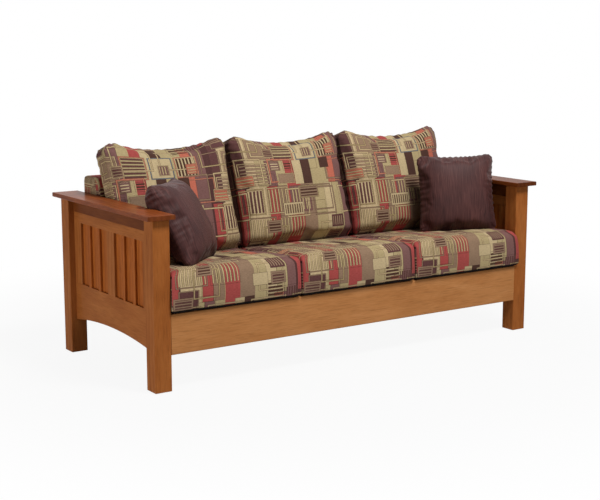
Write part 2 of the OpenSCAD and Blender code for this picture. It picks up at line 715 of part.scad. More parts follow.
color(inner_wood) deck_slats();
color(steel) deck_screws();
color(inner_wood) corner_blocks();
color(inner_wood) board_dowels();
color("#3a3632") floor_glides();
color(inner_wood) back_bottom_rail();
color(inner_wood) back_ribs();
color(inner_wood) back_top_rail();
color("#2c2a28") back_webbing();
color(fabric) inside_back();
color(fabric) outside_back();
color(fabric) side(-1) back_end();  // left_back_end
color(fabric) back_end();  // right_back_end
color(inner_wood) side(-1) back_cleat();  // left_back_cleat
color(inner_wood) back_cleat();  // right_back_cleat
color(steel) back_bolts();
color(fabric) seat_cushion(-1);  // left_seat_cushion
color(fabric) seat_cushion(0);  // middle_seat_cushion
color(fabric) seat_cushion(1);  // right_seat_cushion
color(fabric) back_cushion(-1);  // left_back_cushion
color(fabric) back_cushion(0);  // middle_back_cushion
color(fabric) back_cushion(1);  // right_back_cushion
color(plum) pillow(-1, left_turn, left_lean);  // left_pillow
color(plum) pillow(1, right_turn, right_lean);  // right_pillow
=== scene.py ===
# Three-seat mission sofa: stained wood frame, patchwork cushions, plum throw pillows.
# Everything is in metres. X runs across the sofa, Y to its back, Z up from the floor.
import math
import bpy
import numpy as np
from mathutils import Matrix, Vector, noise


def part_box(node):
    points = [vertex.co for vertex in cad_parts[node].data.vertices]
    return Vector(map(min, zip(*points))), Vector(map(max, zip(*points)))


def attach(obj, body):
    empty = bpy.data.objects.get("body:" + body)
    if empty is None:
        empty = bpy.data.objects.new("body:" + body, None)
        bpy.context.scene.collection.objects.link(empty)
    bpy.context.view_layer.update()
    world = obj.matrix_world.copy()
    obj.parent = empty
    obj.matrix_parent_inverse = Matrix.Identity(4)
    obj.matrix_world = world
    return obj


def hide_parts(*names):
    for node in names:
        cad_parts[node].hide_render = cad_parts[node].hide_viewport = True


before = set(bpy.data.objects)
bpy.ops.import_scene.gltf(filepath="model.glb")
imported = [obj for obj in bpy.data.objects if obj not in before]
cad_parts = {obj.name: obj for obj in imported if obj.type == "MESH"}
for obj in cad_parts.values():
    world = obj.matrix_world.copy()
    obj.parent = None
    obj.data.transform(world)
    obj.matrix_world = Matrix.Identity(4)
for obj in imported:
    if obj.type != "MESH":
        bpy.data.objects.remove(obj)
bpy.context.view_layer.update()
print("frame loaded")

# The frame's own faces, which the soft pieces are fitted between
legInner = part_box("front_right_leg")[0].x
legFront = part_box("front_right_leg")[0].y
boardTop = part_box("left_arm_board")[1].z
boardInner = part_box("right_arm_board")[0].x
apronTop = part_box("front_apron")[1].z
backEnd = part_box("right_back_end")
slab = 2 * legInner / 3
restGap = 0.0003


def tint(colour, share=1):  # a colour as it looks on screen, 0 to 255, made darker by the share
    parts = [c * share / 255 for c in colour]
    return [c / 12.92 if c <= 0.04045 else ((c + 0.055) / 1.055) ** 2.4 for c in parts] + [1]


def grey(level):
    return (level, level, level, 1)


def addObject(name, data):
    made = bpy.data.objects.new(name, data)
    bpy.context.scene.collection.objects.link(made)
    return made


def smooth(t):
    t = np.clip(t, 0, 1)
    return t * t * (3 - 2 * t)


def setAll(made, settings):
    for name, value in settings.items():
        setattr(made, name, value)
    return made


# Short ways to write node trees
def addNode(tree, kind, feeds=None, **settings):
    made = setAll(tree.nodes.new(kind), settings)
    for socket, feed in (feeds or {}).items():
        if hasattr(feed, "is_output"):
            tree.links.new(feed, made.inputs[socket])
        else:
            made.inputs[socket].default_value = feed
    return made


def shade(tree, kind, feeds=None, **settings):
    return addNode(tree, "ShaderNode" + kind, feeds, **settings)


def calc(tree, operation, *feeds):
    return shade(tree, "Math", dict(enumerate(feeds)), operation=operation).outputs[0]


def times(tree, first, second):
    return calc(tree, "MULTIPLY", first, second)


def isBelow(tree, value, limit):
    return calc(tree, "LESS_THAN", value, limit)


def isAbove(tree, value, limit):
    return calc(tree, "GREATER_THAN", value, limit)


def between(tree, value, low, high):
    return times(tree, isAbove(tree, value, low), isBelow(tree, value, high))


def gap(tree, first, second):
    return calc(tree, "ABSOLUTE", calc(tree, "SUBTRACT", first, second))


def blend(tree, share, first, second, how="MIX"):
    feeds = {0: share, 6: first, 7: second}
    return shade(tree, "Mix", feeds, data_type="RGBA", blend_type=how).outputs[2]


def ramp(tree, feed, stops, how="LINEAR"):
    made = shade(tree, "ValToRGB", {0: feed})
    made.color_ramp.interpolation = how
    line = made.color_ramp.elements
    for element, (place, colour) in ((line[0], stops[0]), (line[1], stops[-1])):
        element.position = place
        element.color = colour
    for place, colour in stops[1:-1]:
        line.new(place).color = colour
    return made.outputs[0]


def stretched(tree, feed, stretch, scale, detail=2.0, distortion=0.0):
    made = shade(tree, "Mapping", {0: feed, 3: stretch}).outputs[0]
    feeds = {"Vector": made, "Scale": scale, "Detail": detail, "Distortion": distortion}
    return shade(tree, "TexNoise", feeds).outputs[0]


def newGroup(name, kind, inputs, outputs):
    tree = bpy.data.node_groups.new(name, kind)
    for way, sockets in (("INPUT", inputs), ("OUTPUT", outputs)):
        for socket, sort in sockets.items():
            tree.interface.new_socket(socket, in_out=way, socket_type="NodeSocket" + sort)
    return tree, tree.nodes.new("NodeGroupInput").outputs


def newMaterial(name, sockets):
    made = bpy.data.materials.new(name)
    made.use_nodes = True
    shader = made.node_tree.nodes["Principled BSDF"]
    for socket, value in sockets.items():
        shader.inputs[socket].default_value = value
    return made, made.node_tree, shader


def dressShader(tree, shader, colour, height, strength, depth):  # its colour, and a bump of that depth
    bump = shade(tree, "Bump", {"Strength": strength, "Distance": depth, "Height": height})
    tree.links.new(bump.outputs[0], shader.inputs["Normal"])
    tree.links.new(colour, shader.inputs["Base Color"])


# Stained wood, with its grain along one axis of the piece
wood = {
    "frame": {"light": (168, 102, 51), "middle": (156, 91, 43), "dark": (140, 78, 35)},
    "panel": {"light": (176, 99, 43), "middle": (161, 87, 35), "dark": (142, 73, 27)},
    # The upper rails: a darker copy of the frame's colours, painted shade of the arm boards' overhang
    "shaded": {"light": (114, 60, 26), "middle": (102, 52, 21), "dark": (88, 43, 16)},
    "arm": {"light": (146, 75, 32), "middle": (132, 65, 26), "dark": (108, 50, 19)},
    # The right arm board: a darker copy of the arm's colours, painted shade
    "paintedShadeArm": {"light": (120, 61, 26), "middle": (108, 53, 21), "dark": (89, 41, 15)},
    "apron": {"light": (190, 132, 82), "middle": (182, 124, 74), "dark": (170, 112, 64)},
    "inner": {"light": (214, 184, 138), "middle": (198, 164, 116), "dark": (172, 136, 90)},
    "finish": {"arm": (0.3, 0.11), "paintedShadeArm": (0.3, 0.03), "inner": (0.6, 0.0)},  # roughness and coat
    "otherFinish": (0.42, 0.02),
    "stain": 0.35, "pores": 0.3, "ends": 0.4,  # how far each one darkens the wood
    "shader": {"Coat Roughness": 0.08, "Specular IOR Level": 0.02},
    "bump": (0.15, 0.0006),
    "turns": {"x": (0, 0, 0), "y": (0, 0, math.radians(-90)), "z": (0, math.radians(90), 0)},
}


def makeFigure():
    given = {"Figure": "Float", "Pores": "Float", "Stain": "Float"}
    tree, (place, _) = newGroup("woodFigure", "ShaderNodeTree", {"Place": "Vector"}, given)
    broad = stretched(tree, place, (1.2, 5, 5), 3.2, 3, 0.8)
    sway = stretched(tree, place, (0.5, 2.5, 2.5), 2.0, 2)
    rings = shade(tree, "Mapping", {0: place, 3: (0.35, 1, 1)})
    feeds = {"Vector": rings.outputs[0], "Scale": 11, "Distortion": 7, "Detail": 2.5, "Detail Scale": 0.8,
             "Phase Offset": sway}
    lines = shade(tree, "TexWave", feeds, bands_direction="Y", wave_profile="SIN").outputs[1]
    pores = stretched(tree, place, (14, 420, 420), 1.0, 1)
    fleck = stretched(tree, place, (30, 160, 160), 1.0, 2)
    figure = calc(tree, "MULTIPLY_ADD", lines, 0.16, times(tree, broad, 0.56))
    figure = calc(tree, "MULTIPLY_ADD", fleck, 0.28, figure)
    stain = stretched(tree, place, (1, 1.6, 1.6), 4.5, 3, 0.4)
    out = tree.nodes.new("NodeGroupOutput")
    for socket, feed in zip(out.inputs, (figure, pores, stain)):
        tree.links.new(feed, socket)
    return tree


woodFigure = makeFigure()


def woodMaterial(name, colours, along, shift):
    rough, coat = wood["finish"].get(colours, wood["otherFinish"])
    made, tree, shader = newMaterial(name, dict(wood["shader"], **{"Coat Weight": coat}))
    where = shade(tree, "TexCoord")
    turn = wood["turns"][along]
    placed = shade(tree, "Mapping", {0: where.outputs["Object"], 1: shift, 2: turn})
    feeds = {0: placed.outputs[0]}
    figure, pores, stain = shade(tree, "Group", feeds, node_tree=woodFigure).outputs
    light, middle, dark = [wood[colours][tone] for tone in ("light", "middle", "dark")]
    colour = ramp(tree, figure, [(0.3, tint(dark)), (0.5, tint(middle)), (0.68, tint(light))])
    stained = ramp(tree, stain, [(0.4, grey(0)), (0.75, grey(wood["stain"]))])
    colour = blend(tree, stained, colour, tint(dark))
    opened = ramp(tree, pores, [(0.52, grey(0)), (0.72, grey(wood["pores"]))])
    colour = blend(tree, opened, colour, tint(dark, 0.55))
    # The cut ends drink more stain
    parts = shade(tree, "SeparateXYZ", {0: where.outputs["Normal"]})
    facing = calc(tree, "ABSOLUTE", parts.outputs["xyz".index(along)])
    ends = times(tree, isAbove(tree, facing, 0.9), wood["ends"])
    colour = blend(tree, ends, colour, tint(dark, 0.6))
    tree.links.new(calc(tree, "MULTIPLY_ADD", pores, 0.16, rough - 0.06), shader.inputs["Roughness"])
    dressShader(tree, shader, colour, pores, *wood["bump"])
    return made


# Patchwork cloth: long bands, then blocks with bars and frames laid over them, on a tile that repeats
patchwork = {
    "tile": 0.59,
    "bands": [(0.00, (172, 154, 114)), (0.18, (94, 62, 60)), (0.34, (142, 116, 94)), (0.46, (164, 76, 72)),
              (0.58, (190, 168, 130)), (0.70, (82, 54, 52)), (0.84, (186, 102, 82)), (0.90, (120, 86, 82))],
    "fields": [(0.00, (172, 154, 114)), (0.24, (142, 116, 94)), (0.38, (188, 168, 130)), (0.50, (94, 62, 60)),
               (0.70, (78, 54, 46)), (0.80, (162, 74, 70)), (0.88, (186, 104, 84)), (0.93, (120, 86, 82))],
    "darkBars": [(0.00, (78, 54, 44)), (0.45, (96, 64, 60)), (0.78, (138, 56, 56)), (0.86, (112, 88, 70))],
    "lightBars": [(0.00, (176, 156, 116)), (0.45, (192, 170, 134)), (0.68, (150, 124, 100)),
                  (0.88, (186, 112, 92))],
    "lines": [(0.00, (186, 164, 124)), (0.36, (164, 144, 104)), (0.58, (186, 118, 94)),
              (0.76, (140, 114, 92)), (0.92, (106, 116, 122))],
    "dark": (74, 52, 44),
    "bandCount": 7,
    "bandSwing": 21.3,  # how often and how far the bands' edges sway
    "bandSway": 0.016,
    "darkShare": 0.5,  # of the blocks, those with dark bars
    "edging": 0.0013,  # dark edge on both sides of a line
    "trim": 0.0009,
    "barClear": 0.003,  # between the bars and the block's own line
    "barRim": 0.05,
    "frameInset": 0.015,
    "frameHalf": 0.0026,
    # A block's number up to "cross" gives it bars across, to "upright" upright bars, to "framed" a frame
    "layers": [
        {"rows": 2, "least": 12, "most": 13, "seed": 4.1, "kept": 0.30, "margin": 0.0, "clear": 0.0,
         "line": 0.0, "bar": 0.0100, "cross": 0.0, "upright": 0.0, "framed": 0.0, "rim": 0.0010},
        {"rows": 5, "least": 4, "most": 6, "seed": 3.7, "kept": 0.66, "margin": 0.005, "clear": 0.45,
         "line": 0.0056, "lined": 0.8, "bar": 0.0080, "cross": 0.20, "upright": 0.58, "framed": 0.76,
         "rim": 0.0012},
        {"rows": 9, "least": 5, "most": 9, "seed": 12.9, "kept": 0.40, "margin": 0.007, "clear": 0.3,
         "line": 0.0045, "lined": 0.35, "bar": 0.0062, "cross": 0.40, "upright": 0.66, "framed": 0.66,
         "rim": 0.0012},
    ],
    "outlines": {"rows": 4, "least": 3, "most": 4, "seed": 6.4, "kept": 0.6, "inset": 0.018, "half": 0.0025},
    "weave": 0.0016,
    "bump": (0.35, 0.0008),
    "shader": {"Roughness": 0.85, "Sheen Weight": 0.02, "Sheen Roughness": 0.4, "Specular IOR Level": 0.05},
}


def randomOf(tree, *feeds):
    joined = shade(tree, "CombineXYZ", dict(enumerate(feeds)))
    spread = shade(tree, "TexWhiteNoise", {"Vector": joined.outputs[0]}, noise_dimensions="3D")
    return shade(tree, "SeparateColor", {0: spread.outputs["Color"]}).outputs


def blockPlaces(tree, u, v, look):  # which block a point is in, and where in it
    tile = patchwork["tile"]
    high = tile / look["rows"]
    upward = calc(tree, "DIVIDE", v, high)
    row = calc(tree, "FLOORED_MODULO", calc(tree, "FLOOR", upward), float(look["rows"]))
    byRow = randomOf(tree, row, look["seed"], 0.5)
    # Each row has its own number of blocks and its own start
    count = calc(tree, "FLOOR", calc(tree, "MULTIPLY_ADD", byRow[0], look["most"] - look["least"] + 0.99,
                                     float(look["least"])))
    wide = calc(tree, "DIVIDE", tile, count)
    along = calc(tree, "DIVIDE", calc(tree, "MULTIPLY_ADD", byRow[1], tile, u), wide)
    column = calc(tree, "FLOORED_MODULO", calc(tree, "FLOOR", along), count)
    x = times(tree, calc(tree, "FRACT", along), wide)
    y = times(tree, calc(tree, "FRACT", upward), high)
    sideways = calc(tree, "MINIMUM", x, calc(tree, "SUBTRACT", wide, x))
    updown = calc(tree, "MINIMUM", y, calc(tree, "SUBTRACT", high, y))
    return row, column, x, y, calc(tree, "MINIMUM", sideways, updown)


def tones(tree, pick, name):
    return ramp(tree, pick, [(place, tint(shade)) for place, shade in patchwork[name]], "CONSTANT")


def ruled(tree, colour, away, half, shown, line):  # a line with a dark edge on both its sides
    edging = times(tree, isBelow(tree, away, half + patchwork["edging"]), shown)
    colour = blend(tree, edging, colour, tint(patchwork["dark"]))
    return blend(tree, times(tree, isBelow(tree, away, half), shown), colour, line)


def bandLayer(tree, u):
    count = patchwork["bandCount"]
    swing = calc(tree, "SINE", times(tree, u, patchwork["bandSwing"]))
    swayed = calc(tree, "MULTIPLY_ADD", swing, patchwork["bandSway"], u)
    spot = calc(tree, "DIVIDE", swayed, patchwork["tile"] / count)
    column = calc(tree, "FLOORED_MODULO", calc(tree, "FLOOR", spot), float(count))
    return tones(tree, randomOf(tree, column, 4.7, 1.3)[0], "bands")


def blockLayer(tree, u, v, look, below):
    row, column, x, y, reach = blockPlaces(tree, u, v, look)
    pick = randomOf(tree, column, row, look["seed"] + 11)
    choose = randomOf(tree, column, row, look["seed"] + 23)
    edge = calc(tree, "SUBTRACT", reach, look["margin"])
    inner = calc(tree, "SUBTRACT", edge, look["line"])
    isClear = isBelow(tree, choose[1], look["clear"])
    field = blend(tree, isClear, tones(tree, pick[0], "fields"), below)
    isDark = isAbove(tree, pick[0], patchwork["darkShare"])
    accent = blend(tree, isDark, tones(tree, pick[1], "darkBars"), tones(tree, pick[1], "lightBars"))
    line = tones(tree, pick[2], "lines")
    dark = tint(patchwork["dark"])
    # Bars across or upright
    isCross = isBelow(tree, choose[0], look["cross"])
    isUpright = between(tree, choose[0], look["cross"], look["upright"])
    run = calc(tree, "ADD", times(tree, y, isCross), times(tree, x, isUpright))
    step = calc(tree, "FRACT", calc(tree, "DIVIDE", run, 2 * look["bar"]))
    isWithin = isAbove(tree, inner, patchwork["barClear"])
    hasBars = times(tree, calc(tree, "ADD", isCross, isUpright), isWithin)
    bars = times(tree, isBelow(tree, step, 0.5), hasBars)
    rims = isBelow(tree, calc(tree, "PINGPONG", step, 0.25), patchwork["barRim"])
    colour = blend(tree, bars, field, accent)
    colour = blend(tree, times(tree, rims, hasBars), colour, dark)
    # A frame within the block
    isFramed = between(tree, choose[0], look["upright"], look["framed"])
    away = gap(tree, inner, patchwork["frameInset"])
    colour = ruled(tree, colour, away, patchwork["frameHalf"], isFramed, line)
    if look["line"]:
        half = look["line"] / 2
        lined = isBelow(tree, calc(tree, "FRACT", times(tree, choose[1], 7.0)), look["lined"])
        colour = ruled(tree, colour, gap(tree, edge, half), half - patchwork["trim"], lined, line)
    colour = blend(tree, isBelow(tree, edge, look["rim"]), colour, dark)
    isKept = isBelow(tree, choose[2], look["kept"])
    kept = times(tree, isKept, isAbove(tree, edge, 0.0))
    return blend(tree, kept, below, colour)


def outlineLayer(tree, u, v, look, below):  # large open rectangles laid over the blocks
    row, column, x, y, reach = blockPlaces(tree, u, v, look)
    choose = randomOf(tree, column, row, look["seed"])
    shown = isBelow(tree, choose[0], look["kept"])
    away = gap(tree, reach, look["inset"])
    return ruled(tree, below, away, look["half"], shown, tones(tree, choose[1], "lines"))


def weave(tree, cloth, pitch):
    threads = []
    for direction in ("X", "Y"):
        feeds = {"Vector": cloth, "Scale": 0.314 / pitch, "Distortion": 0.6, "Detail": 1}
        waves = shade(tree, "TexWave", feeds, bands_direction=direction)
        threads.append(waves.outputs[1])
    return calc(tree, "MAXIMUM", *threads)


def mottled(tree, share, colour, feed, low, high):  # a noise makes the colour darker and lighter
    shades = ramp(tree, feed, [(0.3, low), (0.7, high)])
    return blend(tree, share, colour, shades, "MULTIPLY")


def patchworkMaterial(name):
    made, tree, shader = newMaterial(name, patchwork["shader"])
    cloth = shade(tree, "UVMap", uv_map="cloth").outputs[0]
    u, v = shade(tree, "SeparateXYZ", {0: cloth}).outputs[:2]
    plain, large, fine = patchwork["layers"]
    colour = blockLayer(tree, u, v, plain, bandLayer(tree, u))
    colour = blockLayer(tree, u, v, large, colour)
    colour = outlineLayer(tree, u, v, patchwork["outlines"], colour)
    colour = blockLayer(tree, u, v, fine, colour)
    yarn = stretched(tree, cloth, (90, 420, 1), 1.0, 2)
    flock = stretched(tree, cloth, (1, 1, 1), 9.0, 3)
    colour = mottled(tree, 0.5, colour, yarn, (0.62, 0.6, 0.58, 1), grey(1.25))
    colour = mottled(tree, 0.35, colour, flock, (0.75, 0.74, 0.72, 1), grey(1.1))
    height = calc(tree, "MULTIPLY_ADD", yarn, 0.5, weave(tree, cloth, patchwork["weave"]))
    dressShader(tree, shader, colour, height, *patchwork["bump"])
    return made


# Plum cloth with short upright strokes, as of brushed chenille
plum = {
    "dark": (48, 27, 26), "middle": (69, 40, 38), "light": (90, 55, 51),
    "weave": 0.0014,
    "bump": (0.4, 0.0008),
    "shader": {"Roughness": 0.5, "Sheen Weight": 0.04, "Sheen Roughness": 0.35, "Specular IOR Level": 0.14},
}


def plumMaterial(name):
    made, tree, shader = newMaterial(name, plum["shader"])
    cloth = shade(tree, "UVMap", uv_map="cloth").outputs[0]
    strokes = stretched(tree, cloth, (260, 12, 1), 1.0, 2, 0.3)
    cloudy = stretched(tree, cloth, (9, 5, 1), 1.0, 2, 0.5)
    mixed = calc(tree, "MULTIPLY_ADD", strokes, 0.62, times(tree, cloudy, 0.38))
    colour = ramp(tree, mixed, [(0.34, tint(plum["dark"])), (0.5, tint(plum["middle"])),
                                (0.68, tint(plum["light"]))])
    height = calc(tree, "MULTIPLY_ADD", weave(tree, cloth, plum["weave"]), 0.4, strokes)
    dressShader(tree, shader, colour, height, *plum["bump"])
    return made


def plainMaterial(name, colour, roughness, metallic=0.0, grain=60.0, depth=0.0002):
    specular = 0.5 if metallic else 0.05
    made, tree, shader = newMaterial(name, {"Metallic": metallic, "Specular IOR Level": specular})
    where = shade(tree, "TexCoord").outputs["Object"]
    mottle = stretched(tree, where, (1, 1, 1), grain, 3)
    shades = ramp(tree, mottle, [(0.3, tint(colour, 0.82)), (0.7, tint(colour))])
    tree.links.new(calc(tree, "MULTIPLY_ADD", mottle, 0.2, roughness - 0.1), shader.inputs["Roughness"])
    dressShader(tree, shader, shades, mottle, 0.3, depth)
    return made


# Each wooden piece takes its colours, the way of its grain and its own stretch of figure
woodPieces = [
    ("frame", "z", ["front_left_leg", "front_right_leg", "rear_left_leg", "rear_right_leg",
                    "left_front_stile", "left_centre_stile", "left_rear_stile", "right_front_stile",
                    "right_centre_stile", "right_rear_stile"]),
    ("panel", "z", ["left_slats", "right_slats", "left_side_panel", "right_side_panel"]),
    # The upper rails are painted darker, as shade under the arm boards
    ("shaded", "y", ["left_upper_rail", "right_upper_rail"]),
    ("frame", "y", ["left_top_rail", "right_top_rail", "left_lower_rail", "right_lower_rail"]),
    ("arm", "y", ["left_arm_board"]),
    # The right arm board is painted darker, as shade
    ("paintedShadeArm", "y", ["right_arm_board"]),
    ("apron", "x", ["front_apron", "rear_rail"]),
    ("inner", "x", ["front_cleat", "rear_cleat", "deck_slats", "corner_blocks", "back_bottom_rail",
                    "back_top_rail"]),
    ("inner", "y", ["left_seat_ledger", "right_seat_ledger", "left_stretcher", "centre_stretcher",
                    "right_stretcher"]),
    ("inner", "z", ["board_dowels", "back_ribs", "left_back_cleat", "right_back_cleat"]),
]
softEdge = {"width": 0.0018, "segments": 2, "limit_method": "ANGLE", "angle_limit": math.radians(40)}


def finishNode(name, material, softened=False):
    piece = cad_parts[name]
    piece.data.materials.clear()
    piece.data.materials.append(material)
    if softened:
        setAll(piece.modifiers.new("merge", "WELD"), {"merge_threshold": 0.00001})
        setAll(piece.modifiers.new("soften", "BEVEL"), softEdge)


def dressWood():
    turn = 0
    for colours, along, names in woodPieces:
        for name in names:
            turn += 1
            shift = (0.37 * turn, 0.83 * turn % 2.1, 0.29 * turn)
            finishNode(name, woodMaterial(name + "Wood", colours, along, shift), colours != "inner")
    print("wood finished")


# Closed grids: the surface of a box of cells, which each cushion's own rule bends to shape
def boxGrid(counts):
    index, faces, sides = {}, [], []
    for axis, (first, second) in enumerate(((1, 2), (2, 0), (0, 1))):
        for end in (0, counts[axis]):
            for s in range(counts[first]):
                for t in range(counts[second]):
                    loop = [(s, t), (s + 1, t), (s + 1, t + 1), (s, t + 1)]
                    quad = []
                    for a, b in loop if end else loop[::-1]:
                        spot = [0, 0, 0]
                        spot[axis], spot[first], spot[second] = end, a, b
                        quad.append(index.setdefault(tuple(spot), len(index)))
                    faces.append(quad)
                    sides.append((axis, end > 0))
    return np.array(list(index), float), faces, sides


# Where a ray through (p, q) on the unit square meets a rounded rectangle, and how far along it is
def roundedSpot(p, q, a, b, corner):
    share = np.maximum(np.maximum(abs(p), abs(q)), 1e-9)
    x, y = a * p / share, b * q / share
    overX, overY = abs(x) - (a - corner), abs(y) - (b - corner)
    atCorner = (overX > 0) & (overY > 0)
    reach = np.hypot(overX, overY) + 1e-12
    x = np.where(atCorner, np.sign(x) * (a - corner + corner * overX / reach), x)
    y = np.where(atCorner, np.sign(y) * (b - corner + corner * overY / reach), y)
    return x, y, share


def swell(u, v, flat, rounded):
    inside = np.maximum(0, 1 - abs(u) ** flat) * np.maximum(0, 1 - abs(v) ** flat)
    return inside ** rounded


def turned(points, axis, angle):  # about the X, Y or Z axis
    c, s = math.cos(angle), math.sin(angle)
    a, b = [(1, 2), (2, 0), (0, 1)][axis]
    out = points.copy()
    out[:, a] = points[:, a] * c - points[:, b] * s
    out[:, b] = points[:, a] * s + points[:, b] * c
    return out


# The cloth lies flat over the panels and folds down over the boxing
def clothMap(faces, sides, flat, half, depth, up, through):
    uv = []
    a, b = half
    for quad, (axis, far) in zip(faces, sides):
        for corner in quad:
            x, z, w = flat[corner][0], flat[corner][up], flat[corner][through]
            if axis == 0:
                uv.append(((a + w) * (1 if far else -1), z))
            elif axis == up:
                uv.append((x, (b + w) * (1 if far else -1)))
            elif far == (through == 2):
                uv.append((x, z))
            else:
                uv.append((x, 2 * b + depth - z))
    return np.array(uv)


def makePiece(name, points, faces, uv, flat, material):
    mesh = bpy.data.meshes.new(name)
    mesh.from_pydata(points.tolist(), [], faces)
    mesh.uv_layers.new(name="cloth").data.foreach_set("uv", np.ravel(uv))
    mesh.attributes.new("flat", "FLOAT_VECTOR", "POINT").data.foreach_set("vector", np.ravel(flat))
    mesh.materials.append(material)
    mesh.shade_smooth()
    return addObject(name, mesh)


def readVectors(rows, field):
    values = np.empty(len(rows) * 3)
    rows.foreach_get(field, values)
    return values.reshape(-1, 3)


def getPoints(piece):
    return readVectors(piece.data.vertices, "co")


def getFlat(piece):  # where each point was on the flat grid
    return readVectors(piece.data.attributes["flat"].data, "vector")


def setPoints(piece, points):
    piece.data.vertices.foreach_set("co", np.ravel(points))
    piece.data.update()


def getNormals(piece):
    return readVectors(piece.data.vertex_normals, "vector")


# Cloth under pressure, with some of its points drawn tighter than the others
blowing = {"steps": 20, "settings": {"quality": 5, "mass": 0.25, "use_pressure": True}}


def inflate(piece, tight, look):
    group = piece.vertex_groups.new(name="tight")
    group.add([int(i) for i in np.where(tight)[0]], 1.0, "REPLACE")
    before = getPoints(piece)
    modifier = piece.modifiers.new("cloth", "CLOTH")
    cloth = setAll(modifier.settings, blowing["settings"])
    cloth.tension_stiffness = cloth.compression_stiffness = look["stiff"]
    cloth.shear_stiffness = look["stiff"] / 3
    cloth.bending_stiffness = look["bend"]
    cloth.uniform_pressure_force = look["pressure"]
    cloth.effector_weights.gravity = 0
    cloth.shrink_min = look["loose"]
    cloth.shrink_max = look["tight"]
    cloth.vertex_group_shrink = "tight"
    scene = bpy.context.scene
    for step in range(1, blowing["steps"] + 1):
        scene.frame_set(step)
    shown = piece.evaluated_get(bpy.context.evaluated_depsgraph_get())
    moved = getPoints(shown) - before
    piece.modifiers.remove(modifier)
    scene.frame_set(1)
    piece.vertex_groups.clear()
    moved -= moved.mean(axis=0)
    # Mostly in and out of the panel, so that the pattern keeps its straight lines
    out = getNormals(piece)
    outward = (moved * out).sum(axis=1, keepdims=True) * out
    moved = outward + look["along"] * (moved - outward)
    length = np.linalg.norm(moved, axis=1, keepdims=True) + 1e-9
    moved *= look["cap"] * np.tanh(length / look["cap"]) / length
    setPoints(piece, before + moved)


def freeze(piece, modifier, allLayers=False):  # what the modifier shows becomes the piece's own mesh
    graph = bpy.context.evaluated_depsgraph_get()
    shown = piece.evaluated_get(graph)
    mesh = bpy.data.meshes.new_from_object(shown, preserve_all_data_layers=allLayers, depsgraph=graph)
    piece.modifiers.remove(modifier)
    piece.data = mesh


def refine(piece):  # one subdivision, made part of the mesh
    finer = piece.modifiers.new("finer", "SUBSURF")
    finer.levels = finer.render_levels = 1
    freeze(piece, finer, True)


def fitTo(piece, target, axes):  # back to the size that it had before the cloth drew in
    points = getPoints(piece)
    for axis in axes:
        low, high = points[:, axis].min(), points[:, axis].max()
        wantedLow, wantedHigh = target[:, axis].min(), target[:, axis].max()
        points[:, axis] = wantedLow + (points[:, axis] - low) * (wantedHigh - wantedLow) / (high - low)
    setPoints(piece, points)


def lumps(points, scale, seed):
    return np.array([noise.noise(Vector((p[0] / scale + seed, p[1] / scale, p[2] / scale - seed)))
                     for p in points])


# Stitches along a seam: short threads set at even steps on a path, each turned along it
stitching = {"sizes": {"Pitch": 0.0075, "Length": 0.0052, "Thread": 0.0013}, "raised": 0.0001}


def makeStitchTree():
    taken = {"Path": "Geometry", "Pitch": "Float", "Length": "Float", "Thread": "Float", "Cloth": "Material"}
    tree, feeds = newGroup("seamStitches", "GeometryNodeTree", taken, {"Stitches": "Geometry"})
    path, pitch, length, thread, cloth = feeds[:5]
    curve = addNode(tree, "GeometryNodeMeshToCurve", {"Mesh": path}).outputs[0]
    feeds = {"Curve": curve, "Length": pitch}
    even = addNode(tree, "GeometryNodeResampleCurve", feeds, mode="LENGTH").outputs[0]
    kind = "GeometryNodeInputNamedAttribute"
    out = addNode(tree, kind, {"Name": "out"}, data_type="FLOAT_VECTOR").outputs[0]
    tangent = addNode(tree, "GeometryNodeInputTangent").outputs[0]
    turn = addNode(tree, "FunctionNodeAlignRotationToVector", {"Vector": tangent}, axis="X").outputs[0]
    turn = addNode(tree, "FunctionNodeAlignRotationToVector", {"Rotation": turn, "Vector": out}, axis="Z",
                   pivot_axis="X").outputs[0]
    bead = addNode(tree, "GeometryNodeMeshUVSphere", {"Segments": 6, "Rings": 4, "Radius": 0.5}).outputs[0]
    size = addNode(tree, "ShaderNodeCombineXYZ", {0: length, 1: thread, 2: thread}).outputs[0]
    shaped = addNode(tree, "GeometryNodeTransform", {"Geometry": bead, "Scale": size}).outputs[0]
    feeds = {"Points": even, "Instance": shaped, "Rotation": turn}
    threads = addNode(tree, "GeometryNodeInstanceOnPoints", feeds)
    real = addNode(tree, "GeometryNodeRealizeInstances", {"Geometry": threads.outputs[0]}).outputs[0]
    dressed = addNode(tree, "GeometryNodeSetMaterial", {"Geometry": real, "Material": cloth}).outputs[0]
    tree.links.new(dressed, tree.nodes.new("NodeGroupOutput").inputs[0])
    return tree


stitchTree = makeStitchTree()


def stitch(name, loops, material):  # loops are rings of points with the way out of the cloth
    points, edges, outs = [], [], []
    for spots, normals in loops:
        first = len(points)
        points += (spots + normals * stitching["raised"]).tolist()
        outs += normals.tolist()
        edges += [(first + k, first + (k + 1) % len(spots)) for k in range(len(spots))]
    mesh = bpy.data.meshes.new(name)
    mesh.from_pydata(points, edges, [])
    mesh.attributes.new("out", "FLOAT_VECTOR", "POINT").data.foreach_set("vector", np.ravel(outs))
    piece = addObject(name, mesh)
    modifier = piece.modifiers.new("stitches", "NODES")
    modifier.node_group = stitchTree
    sizes = dict(stitching["sizes"], Cloth=material)
    for item in stitchTree.interface.items_tree:
        if item.name in sizes:
            modifier[item.identifier] = sizes[item.name]
    freeze(piece, modifier)
    piece.data.shade_smooth()
    return piece


